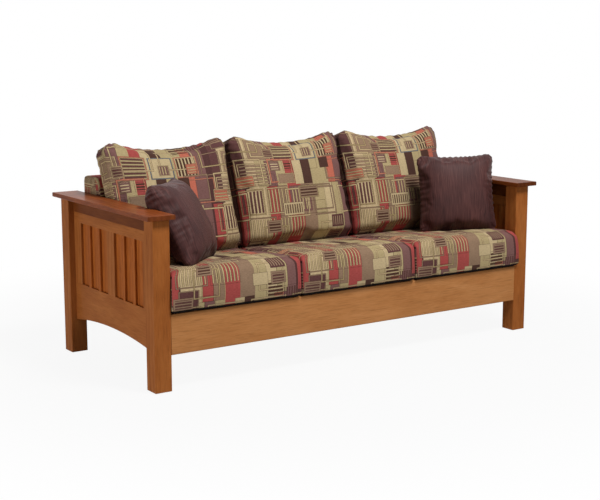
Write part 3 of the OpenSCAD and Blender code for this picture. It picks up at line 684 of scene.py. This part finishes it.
def sew(name, cushion, plane, levels, body, material):  # round a panel's edge at each level through it
    flat, spots, normals = getFlat(cushion), getPoints(cushion), getNormals(cushion)
    p, q = flat[:, plane[0]], flat[:, plane[1]]
    a, b = abs(p).max(), abs(q).max()
    onEdge = np.maximum(abs(p) / a, abs(q) / b) > 0.9999
    around = np.arctan2(q / b, p / a)
    through = flat[:, 3 - sum(plane)]
    loops = []
    for level in levels:
        ring = np.where(onEdge & (abs(through - level) < 0.0001))[0]
        ring = ring[np.argsort(around[ring])]
        loops.append((spots[ring], normals[ring]))
    piece = stitch(name, loops, material)
    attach(piece, body)


# Seat cushions, in the plane of the sloping seat
seat = {
    "pitch": math.radians(3.5), "rise": 0.002, "thickness": 0.158, "length": 0.4919, "nose": 0.016,
    "crown": 0.010, "crownAcross": 12, "crownAlong": 8, "flatFrom": 0.386, "fade": 0.19, "corner": 0.003,
    "frontRoll": 0.018, "edgeRoll": 0.007, "rollFrom": 0.05, "rollFade": 0.10, "hang": 0.02,
    "bulge": 0.010, "bulgeFlat": 24, "drawn": 0.001, "drawnFlat": 4,
    "frontLift": 0.001, "liftFrom": 0.72, "liftFade": 0.25, "liftHeight": 0.06,
    "cells": (54, 45, 14), "shift": (0.00, 0.10), "lump": 0.0022, "lumpSize": 0.13, "lumpFrom": 0.02,
    "tightRows": 3, "frontRows": 2, "liningAndShadeRows": 1,
    # The outer cushions' ends spill a little in front of the legs, from just above their lower edge
    "spill": {-1: 0.006, 0: 0.0, 1: 0.022}, "spillFrom": 0.001, "spillFade": 0.012, "spillFoot": 0.004,
    "spillHeight": 0.164, "spillRound": 0.15, "spillLow": 1.15, "spillLess": 0.35, "spillOuter": 5,
    "least": 0.0002, "rearClear": 0.0005,
    "cloth": {"stiff": 18, "bend": 1.2, "pressure": 2.5, "loose": -0.008, "tight": 0.012, "cap": 0.005,
              "along": 0.5},
}
seatZ = apronTop + seat["rise"]
cushionWidth = slab - 2 * restGap


def seatTop(x, y, a, b, middle):
    across = np.maximum(0, 1 - abs(x / a) ** seat["crownAcross"])
    crown = across * np.maximum(0, 1 - ((y - middle) / b) ** seat["crownAlong"])
    return seat["thickness"] + seat["crown"] * crown * smooth((seat["flatFrom"] - y) / seat["fade"])


def seatShape(corners):
    across, along, t = (corners / seat["cells"]).T
    p, q = 2 * across - 1, 2 * along - 1
    a = cushionWidth / 2
    b = (seat["length"] + seat["nose"]) / 2
    middle = (seat["length"] - seat["nose"]) / 2
    x, y, share = roundedSpot(p, q, a, b, seat["corner"])
    # Round the lower edge, up the wall and over the upper edge, which is rounder at the front
    low = seat["edgeRoll"]
    high = low + (seat["frontRoll"] - low) * smooth((seat["rollFrom"] - q - abs(p)) / seat["rollFade"])
    thick = seat["thickness"]
    lowArc, highArc = low * math.pi / 2, high * math.pi / 2
    wall = thick - low - high
    run = t * (lowArc + wall + highArc)
    isLow, isHigh = run < lowArc, run > lowArc + wall
    lowTurn, highTurn = run / low, (run - lowArc - wall) / high
    inset = np.where(isLow, low * (1 - np.sin(lowTurn)), np.where(isHigh, high * (1 - np.cos(highTurn)), 0))
    z = np.where(isLow, low * (1 - np.cos(lowTurn)),
                 np.where(isHigh, thick - high * (1 - np.sin(highTurn)), low + run - lowArc))
    belly = np.sin(math.pi * np.clip(z / thick, 0, 1)) * (share > 0.999)
    atFront = (q < -0.999) * np.maximum(0, 1 - (x / a) ** seat["bulgeFlat"])
    atSide = (abs(p) > 0.999) * np.maximum(0, 1 - (y / b) ** seat["drawnFlat"])
    x = x * share * (1 - inset / a) - np.sign(x) * atSide * seat["drawn"] * belly
    y = y * share * (1 - inset / b) + middle - atFront * seat["bulge"] * belly
    z += (seatTop(x, y, a, b, middle) - thick) * smooth(z / thick)
    atNose = smooth((middle - seat["liftFrom"] * b - y) / (seat["liftFade"] * b))
    z += seat["frontLift"] * atNose * (1 - smooth(z / seat["liftHeight"]))
    flat = np.stack([p * a, q * b, (1 - t) * (thick + seat["hang"])], 1)
    return np.stack([x, y, z], 1), flat, (a, b)


def spilled(points, slot):
    placed = turned(points, 0, -seat["pitch"]) + np.array([slot * slab, legFront, seatZ])
    proud = smooth((legFront - seat["spillFrom"] - placed[:, 1]) / seat["spillFade"])
    high = np.clip((points[:, 2] - seat["spillFoot"]) / seat["spillHeight"], 0, 1)
    proud *= np.sin(math.pi * high) ** seat["spillRound"] * (seat["spillLow"] - seat["spillLess"] * high)
    outward = np.maximum(0, slot * points[:, 0] / (cushionWidth / 2)) ** seat["spillOuter"]
    placed[:, 0] += slot * seat["spill"][slot] * proud * outward
    return placed


def makeSeat(name, slot, seed):
    corners, faces, sides = boxGrid(seat["cells"])
    points, flat, half = seatShape(corners)
    uv = clothMap(faces, sides, flat, half, seat["thickness"], 1, 2) + np.array(seat["shift"])
    piece = makePiece(name, points, faces, uv, flat, clothMaterial)
    # The underside is dark lining, and so is the first row of cells above it, which shows under the front
    # edge as painted shade
    piece.data.materials.append(liningAndShadeCloth)
    liningAndShadeFaces = [max(corners[i][2] for i in quad) <= seat["liningAndShadeRows"] for quad in faces]
    piece.data.polygons.foreach_set("material_index", np.array(liningAndShadeFaces, int))
    # Its top is drawn tighter, and the upper rows of its sides, but not its front
    tight = (seat["cells"][2] - corners[:, 2] < seat["tightRows"]) & (corners[:, 1] > seat["frontRows"])
    rise = lumps(points, seat["lumpSize"], seed)[:, None] * np.array([0, 0, seat["lump"]])
    points += rise * (points[:, 2:] > seat["lumpFrom"])
    setPoints(piece, points)
    inflate(piece, tight, seat["cloth"])
    refine(piece)
    fitTo(piece, points, (0, 1))
    points = getPoints(piece)
    limit = cushionWidth / 2
    points[:, 0] = np.clip(points[:, 0], -limit, limit)
    points[:, 1] = np.minimum(points[:, 1], seat["length"] - seat["rearClear"])
    points[:, 2] = np.maximum(points[:, 2], seat["least"])
    setPoints(piece, spilled(points, slot))
    return piece


# Back cushions, in their own leaning plane: across, through from the front seam, up along the lean
back = {
    "foot": 0.416, "lean": math.radians(19), "height": 0.521, "boxing": 0.080, "frontCrown": 0.060,
    "rearCrown": 0.038, "slim": 0.003, "draw": 0.015, "footDraw": 0.35, "topDraw": 0.050, "corner": 0.050,
    "ear": 0.080, "undercut": 0.034, "cutFrom": -0.70, "cutFade": 0.30,
    "lowerSwell": (2.0, 0.52), "upperSwell": (2.6, 0.6), "rearSwell": (4, 0.7),
    "cells": (54, 8, 48), "lump": 0.004, "lumpSize": 0.15, "lumpTo": 0.02, "edge": 0.98,
    "shift": {"left": (0.13, 0.05), "middle": (0.0, 0.0), "right": (0.0, 0.0)},
    "folds": {"pitch": 0.042, "reach": 0.040, "top": 0.0024, "foot": 0.0012, "side": 0.0015},
    "clear": 0.0014, "aboveBoard": 0.02, "widening": 0.07,
    "cloth": {"stiff": 12, "bend": 1.5, "pressure": 3.0, "loose": -0.02, "tight": 0.025, "cap": 0.014,
              "along": 0.3},
}
seatSine, seatCosine = math.sin(seat["pitch"]), math.cos(seat["pitch"])
seatHeight = seat["thickness"] + restGap
footY = legFront + back["foot"] * seatCosine + seatHeight * seatSine
footZ = seatZ - back["foot"] * seatSine + seatHeight * seatCosine


def backShape(corners):
    across, w, upward = (corners / back["cells"]).T
    p, q = 2 * across - 1, 2 * upward - 1
    a = (cushionWidth - back["slim"]) / 2
    b = back["height"] / 2
    x, z, share = roundedSpot(p, q, a, b, np.where(q > 0, back["ear"], back["corner"]))
    x, z = x * share, z * share
    u, v = x / a, z / b
    y = w * back["boxing"]
    cut = np.stack([x, y, z], 1)
    front = np.where(v < 0, swell(u, v, *back["lowerSwell"]), swell(u, v, *back["upperSwell"]))
    y = y - (w < 0.001) * back["frontCrown"] * front
    # The foot draws back under the bulge, which leaves a shadow over the seat
    y += back["undercut"] * (1 - w) * smooth((back["cutFrom"] - v) / back["cutFade"]) ** 2
    y += (w > 0.999) * back["rearCrown"] * swell(u, v, *back["rearSwell"])
    pinch = np.where(v > 0, 1, back["footDraw"])
    x *= 1 - back["draw"] / a * (1 - pinch * v * v)
    # The top dips between its corners, and the foot is cut to the slope of the seat
    up = z + b
    dip = np.where(v > 0, back["topDraw"] * v * (1 - u * u), 0)
    wedge = math.tan(back["lean"] - seat["pitch"])
    z = up - dip + y * wedge * (1 - up / back["height"]) ** 2
    flat = np.stack([p * a, w * back["boxing"], q * b], 1)
    return np.stack([x, y, z], 1), flat, cut, (a, b)


def noiseAlong(along, scale, seed):
    return np.array([noise.noise(Vector((s * scale, seed, 0.5))) for s in along])


pucker = {"wobble": 5, "wobbleScale": 9, "size": 0.6, "sizeChange": 0.8, "sizeScale": 14}


def gather(piece, half, folds, seed):  # puckers that run in from the seams
    flat, points, normals = getFlat(piece), getPoints(piece), getNormals(piece)
    x, z = flat[:, 0], flat[:, -1]
    rise = np.zeros(len(points))
    for along, away, strength in ((x, half[1] - z, folds["top"]), (x, half[1] + z, folds["foot"]),
                                  (z, half[0] - abs(x), folds["side"])):
        wobble = noiseAlong(along, pucker["wobbleScale"], seed)
        size = pucker["size"] + pucker["sizeChange"] * noiseAlong(along, pucker["sizeScale"], seed + 4)
        waves = np.cos(2 * math.pi * along / folds["pitch"] + pucker["wobble"] * wobble)
        rise += strength * size * waves * np.exp(-np.maximum(away, 0) / folds["reach"])
    setPoints(piece, points + normals * rise[:, None])


def plump(piece, points, rise, flat, half, look, seed):  # the panel's lumps, fullness and puckers
    drawn = points.copy()
    points[:, 1] += rise
    setPoints(piece, points)
    atEdge = (abs(flat[:, 0]) > half[0] * look["edge"]) | (abs(flat[:, 2]) > half[1] * look["edge"])
    inflate(piece, atEdge, look["cloth"])
    refine(piece)
    fitTo(piece, drawn, (0, 2))
    gather(piece, half, look["folds"], seed)


def makeBack(name, slot, shift, seed):
    corners, faces, sides = boxGrid(back["cells"])
    points, flat, cut, half = backShape(corners)
    uv = clothMap(faces, sides, cut, half, back["boxing"], 2, 1) + np.array(shift)
    piece = makePiece(name, points, faces, uv, flat, clothMaterial)
    inFront = (points[:, 1] < back["lumpTo"]) * (1 - (flat[:, 0] / half[0]) ** 2)
    rise = back["lump"] * lumps(points, back["lumpSize"], seed) * inFront
    plump(piece, points, rise, flat, half, back, seed)
    points = turned(getPoints(piece), 0, -back["lean"]) + np.array([slot * slab, footY, footZ])
    limit = cushionWidth / 2
    across = np.clip(points[:, 0] - slot * slab, -limit, limit)
    if slot:  # up to the arm boards' height it keeps clear of them, since it passes them as the seat lifts
        room = boardInner - back["clear"] - slab
        above = points[:, 2] - boardTop - back["aboveBoard"]
        room = room + (limit - room) * smooth(above / back["widening"])
        across = slot * np.minimum(slot * across, room)
    points[:, 0] = across + slot * slab
    # It rests on the flat rear part of the seat cushion
    rest = seatZ + seatHeight / seatCosine - (points[:, 1] - legFront) * math.tan(seat["pitch"])
    points[:, 2] = np.maximum(points[:, 2], rest)
    setPoints(piece, points)
    return piece


# Throw pillows about their own middle: across, through, up
pillow = {
    "side": 0.360, "thick": 0.136, "seam": 0.008, "corner": 0.042, "draw": 0.007, "roll": math.radians(1.5),
    "swell": (2.2, 0.5),
    "cells": (44, 1, 44), "shift": (0.2, 0.4), "lump": 0.004, "lumpSize": 0.10, "edge": 0.97,
    "folds": {"pitch": 0.024, "reach": 0.026, "top": 0.0022, "foot": 0.0012, "side": 0.0022},
    "cloth": {"stiff": 10, "bend": 0.8, "pressure": 3.5, "loose": -0.04, "tight": 0.04, "cap": 0.016,
              "along": 0.6},
    "left": {"turn": math.radians(45), "lean": math.radians(28), "sign": -1},
    "right": {"turn": math.radians(-31), "lean": math.radians(14.5), "sign": 1},
}


def pillowShape(corners):
    across, w, upward = (corners / pillow["cells"]).T
    p, q = 2 * across - 1, 2 * upward - 1
    a = pillow["side"] / 2
    x, z, share = roundedSpot(p, q, a, a, pillow["corner"])
    x, z = x * share, z * share
    u, v = x / a, z / a
    crown = (pillow["thick"] - pillow["seam"]) / 2 * swell(u, v, *pillow["swell"])
    y = (2 * w - 1) * (pillow["seam"] / 2 + crown)
    x = x * (1 - pillow["draw"] / a * (1 - v * v))
    z = z - np.where(v > 0, pillow["draw"] * v * (1 - u * u), 0)
    flat = np.stack([p * a, w * pillow["seam"], q * a], 1)
    return np.stack([x, y, z], 1), flat, (a, a)


def posed(points, pose):
    out = turned(points, 1, -pose["sign"] * pillow["roll"])
    out = turned(out, 0, -pose["lean"])
    return turned(out, 2, pose["turn"])


def makePillow(name, pose, seed):
    corners, faces, sides = boxGrid(pillow["cells"])
    points, flat, half = pillowShape(corners)
    uv = clothMap(faces, sides, flat, half, pillow["seam"], 2, 1) + np.array(pillow["shift"])
    low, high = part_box(name)
    rest = posed(points, pose)
    place = (np.array(low) + np.array(high)) / 2 - (rest.min(axis=0) + rest.max(axis=0)) / 2
    piece = makePiece(name + "_cloth", points, faces, uv, flat, plumCloth)
    middle = swell(flat[:, 0] / half[0], flat[:, 2] / half[0], 2, 1)
    rise = pillow["lump"] * lumps(points, pillow["lumpSize"], seed) * np.sign(points[:, 1]) * middle
    plump(piece, points, rise, flat, half, pillow, seed)
    setPoints(piece, posed(getPoints(piece), pose) + place)
    return piece


# The upholstered back unit behind the cushions: a rounded wedge wrapped in the same cloth
unit = {
    "frontRound": 0.030, "rearRound": 0.018, "endRound": 0.008, "slices": 120, "around": 96,
    "shift": (0.21, 0.33), "endSteps": (0, 0.08, 0.3, 0.6), "capSteps": (0.8, 0.6, 0.4, 0.2), "lift": 0.001,
}


def unitProfile():
    low, high = backEnd
    lean = back["lean"]
    base = low.z + unit["lift"]
    front, soft = unit["frontRound"], unit["rearRound"]
    centreZ = high.z - front
    centreY = low.y + (centreZ - low.z) * math.tan(lean) + front / math.cos(lean)
    spots = [(low.y, base)]
    for k in range(9):
        angle = math.pi - lean - k / 8 * (math.pi / 2 - lean)
        spots.append((centreY + front * math.cos(angle), centreZ + front * math.sin(angle)))
    for k in range(7):
        angle = math.pi / 2 * (1 - k / 6)
        spots.append((high.y - soft + soft * math.cos(angle), high.z - soft + soft * math.sin(angle)))
    spots.append((high.y, base))
    return spots


def evenly(spots, count):  # points at even steps along a closed outline
    loop = np.array(spots + [spots[0]])
    steps = np.hypot(*np.diff(loop, axis=0).T)
    run = np.concatenate([[0], np.cumsum(steps)])
    at = np.arange(count) / count * run[-1]
    return np.stack([np.interp(at, run, loop[:, 0]), np.interp(at, run, loop[:, 1])], 1), at


def unitSlices():  # places across the unit, each with how far its outline is drawn in
    reach, soft = backEnd[1].x, unit["endRound"]
    end = []
    for step in unit["endSteps"]:
        x = -reach + soft * step
        end.append((x, soft * (1 - math.sqrt(max(0, 1 - (1 - (x + reach) / soft) ** 2)))))
    inner = np.linspace(-reach + soft, reach - soft, unit["slices"])
    return end + [(x, 0) for x in inner] + [(-x, inset) for x, inset in end[::-1]]


def makeUnit(name):
    ring, run = evenly(unitProfile(), unit["around"])
    slices = unitSlices()
    count = len(ring)
    middle = ring.mean(axis=0)
    toMiddle = middle - ring
    toMiddle /= np.linalg.norm(toMiddle, axis=1, keepdims=True)
    points, uv, faces = [], [], []
    for x, inset in slices:
        points += [(x, *(spot + away * inset)) for spot, away in zip(ring, toMiddle)]
    along = list(run) + [run[-1] + run[1]]
    steps = [(k, (k + 1) % count) for k in range(count)]
    for s, ((x, _), (nextX, _)) in enumerate(zip(slices, slices[1:])):
        for k, n in steps:
            a, b = s * count + k, s * count + n
            faces.append([a, a + count, b + count, b])
            uv += [(x, along[k]), (nextX, along[k]), (nextX, along[k + 1]), (x, along[k + 1])]
    # Each end is closed by rings that close in on its middle
    caps = []
    for start, order in ((0, 1), (len(points) - count, -1)):
        rim, outer = points[start:start + count], range(start, start + count)
        for share in unit["capSteps"]:
            inner = range(len(points), len(points) + count)
            points += [(x, *(middle + (np.array(spot) - middle) * share)) for x, *spot in rim]
            caps += [[outer[k], outer[n], inner[n], inner[k]][::order] for k, n in steps]
            outer = inner
        caps += [[outer[k], outer[n], len(points)][::order] for k, n in steps]
        points.append((rim[0][0], *middle))
    faces += caps
    uv += [points[i][1:] for cap in caps for i in cap]
    points = np.array(points)
    return makePiece(name, points, faces, np.array(uv) + np.array(unit["shift"]), points, clothMaterial)


# Camera at the photograph's place, plain floor and soft light
view = {"place": (-3.130, -4.596, 1.380), "target": (-0.0138, 0.0, 0.409), "lens": 75.88}
lamps = [
    {"name": "keyLight", "place": (0.3, -2.7, 4.6), "size": 1.2, "power": 232},
    {"name": "frontLight", "place": (-1.3, -5.2, 2.3), "size": 1.8, "power": 37},
    {"name": "leftLight", "place": (-4.8, -0.3, 0.55), "size": 0.8, "power": 68},
    {"name": "backLight", "place": (0.4, 2.8, 3.4), "size": 2.4, "power": 34},
]
lampTarget = (0, 0, 0.4)
studio = {
    "sky": 0.10, "floorReach": 14, "floor": {"Base Color": grey(0.45), "Roughness": 0.9},
    "nearWhite": 0.92, "whiteFrom": 0.14, "whiteTo": 0.30, "whiteScale": 8.0,
}


def aimed(name, data, place, target):
    made = addObject(name, data)
    made.location = place
    made.rotation_mode = "QUATERNION"
    made.rotation_quaternion = (Vector(target) - Vector(place)).to_track_quat("-Z", "Y")
    return made


def makeCamera():
    data = bpy.data.cameras.new("viewCamera")
    data.lens = view["lens"]
    bpy.context.scene.camera = aimed("viewCamera", data, view["place"], view["target"])


def makeLights():
    for lamp in lamps:
        data = bpy.data.lights.new(lamp["name"], "AREA")
        data.shape = "SQUARE"
        data.size = lamp["size"]
        data.energy = lamp["power"]
        aimed(lamp["name"], data, lamp["place"], lampTarget)


def whiteToCamera(tree):  # 1 for what the camera sees, directly, in a gloss or through glass
    path = shade(tree, "LightPath").outputs
    seen = calc(tree, "MAXIMUM", path["Is Camera Ray"], path["Is Glossy Ray"])
    return calc(tree, "MAXIMUM", seen, path["Is Transmission Ray"])


def makeSky():
    world = bpy.data.worlds.new("softSky")
    bpy.context.scene.world = world
    world.use_nodes = True
    tree = world.node_tree
    plain = tree.nodes["Background"]
    plain.inputs[0].default_value = grey(1)
    plain.inputs[1].default_value = studio["sky"]
    bright = shade(tree, "Background", {0: grey(1), 1: 1.0})
    feeds = {0: whiteToCamera(tree), 1: plain.outputs[0], 2: bright.outputs[0]}
    chosen = shade(tree, "MixShader", feeds)
    tree.links.new(chosen.outputs[0], tree.nodes["World Output"].inputs[0])


def floorMaterial(name):
    made, tree, shader = newMaterial(name, studio["floor"])
    glow = shade(tree, "Emission", {0: grey(1), 1: 1.0})
    # Away from the sofa the floor goes over into the white background
    spot = shade(tree, "TexCoord").outputs["Object"]
    away = shade(tree, "VectorMath", {0: spot}, operation="LENGTH").outputs["Value"]
    white = ramp(tree, calc(tree, "DIVIDE", away, studio["whiteScale"]),
                 [(studio["whiteFrom"], grey(studio["nearWhite"])), (studio["whiteTo"], grey(1))], "EASE")
    share = times(tree, whiteToCamera(tree), white)
    mixed = shade(tree, "MixShader", {0: share, 1: shader.outputs[0], 2: glow.outputs[0]})
    tree.links.new(mixed.outputs[0], tree.nodes["Material Output"].inputs[0])
    return made


def makeFloor():
    mesh = bpy.data.meshes.new("studioFloor")
    r = studio["floorReach"]
    mesh.from_pydata([(-r, -r, 0), (r, -r, 0), (r, r, 0), (-r, r, 0)], [], [(0, 1, 2, 3)])
    mesh.materials.append(floorMaterial("paleFloor"))
    floor = addObject("studioFloor", mesh)


makeCamera()
makeLights()
makeSky()
makeFloor()
bpy.context.scene.view_settings.view_transform = "Standard"
print("camera, light and floor ready")

dressWood()
clothMaterial = patchworkMaterial("patchworkCloth")
plumCloth = plumMaterial("plumCloth")
# Dark lining for the cushions' undersides, which also paints the shade line under their front edges
liningAndShadeCloth = plainMaterial("darkLiningAndPaintedShade", (26, 21, 19), 0.9, 0.0, 500, 0.0004)
threadCloth = plainMaterial("sewingThread", (112, 84, 66), 0.8, 0.0, 900, 0.0002)
plumThread = plainMaterial("plumThread", (66, 42, 42), 0.8, 0.0, 900, 0.0002)
finishNode("deck_screws", plainMaterial("screwSteel", (150, 150, 152), 0.4, 1.0))
finishNode("back_bolts", plainMaterial("boltSteel", (140, 140, 142), 0.42, 1.0))
finishNode("floor_glides", plainMaterial("glidePlastic", (58, 50, 44), 0.5))
finishNode("back_webbing", plainMaterial("jute", (150, 124, 88), 0.8, 0.0, 300, 0.0006))
print("materials ready")

places = [("left", -1), ("middle", 0), ("right", 1)]
for side, slot in places:
    cushion = makeSeat(side + "SeatCushion", slot, slot * 3.1 + 5)
    sew(side + "SeatStitches", cushion, (0, 1), [0], side + "_seat", threadCloth)
    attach(cushion, side + "_seat")
    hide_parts(side + "_seat_cushion")
print("seat cushions made")

for side, slot in places:
    cushion = makeBack(side + "BackCushion", slot, back["shift"][side], slot * 2.3 + 7)
    seams = [0, back["boxing"]]
    sew(side + "BackStitches", cushion, (0, 2), seams, side + "_back", threadCloth)
    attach(cushion, side + "_back")
    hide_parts(side + "_back_cushion")
print("back cushions made")

for side in ("left", "right"):
    cushion = makePillow(side + "_pillow", pillow[side], 3.3 * pillow[side]["sign"])
    seams = [0, pillow["seam"]]
    sew(side + "PillowStitches", cushion, (0, 2), seams, side + "_throw", plumThread)
    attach(cushion, side + "_throw")
    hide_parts(side + "_pillow")
print("pillows made")

unitPiece = makeUnit("upholsteredBack")
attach(unitPiece, "frame")
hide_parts("inside_back", "outside_back", "left_back_end", "right_back_end")
print("back unit made")
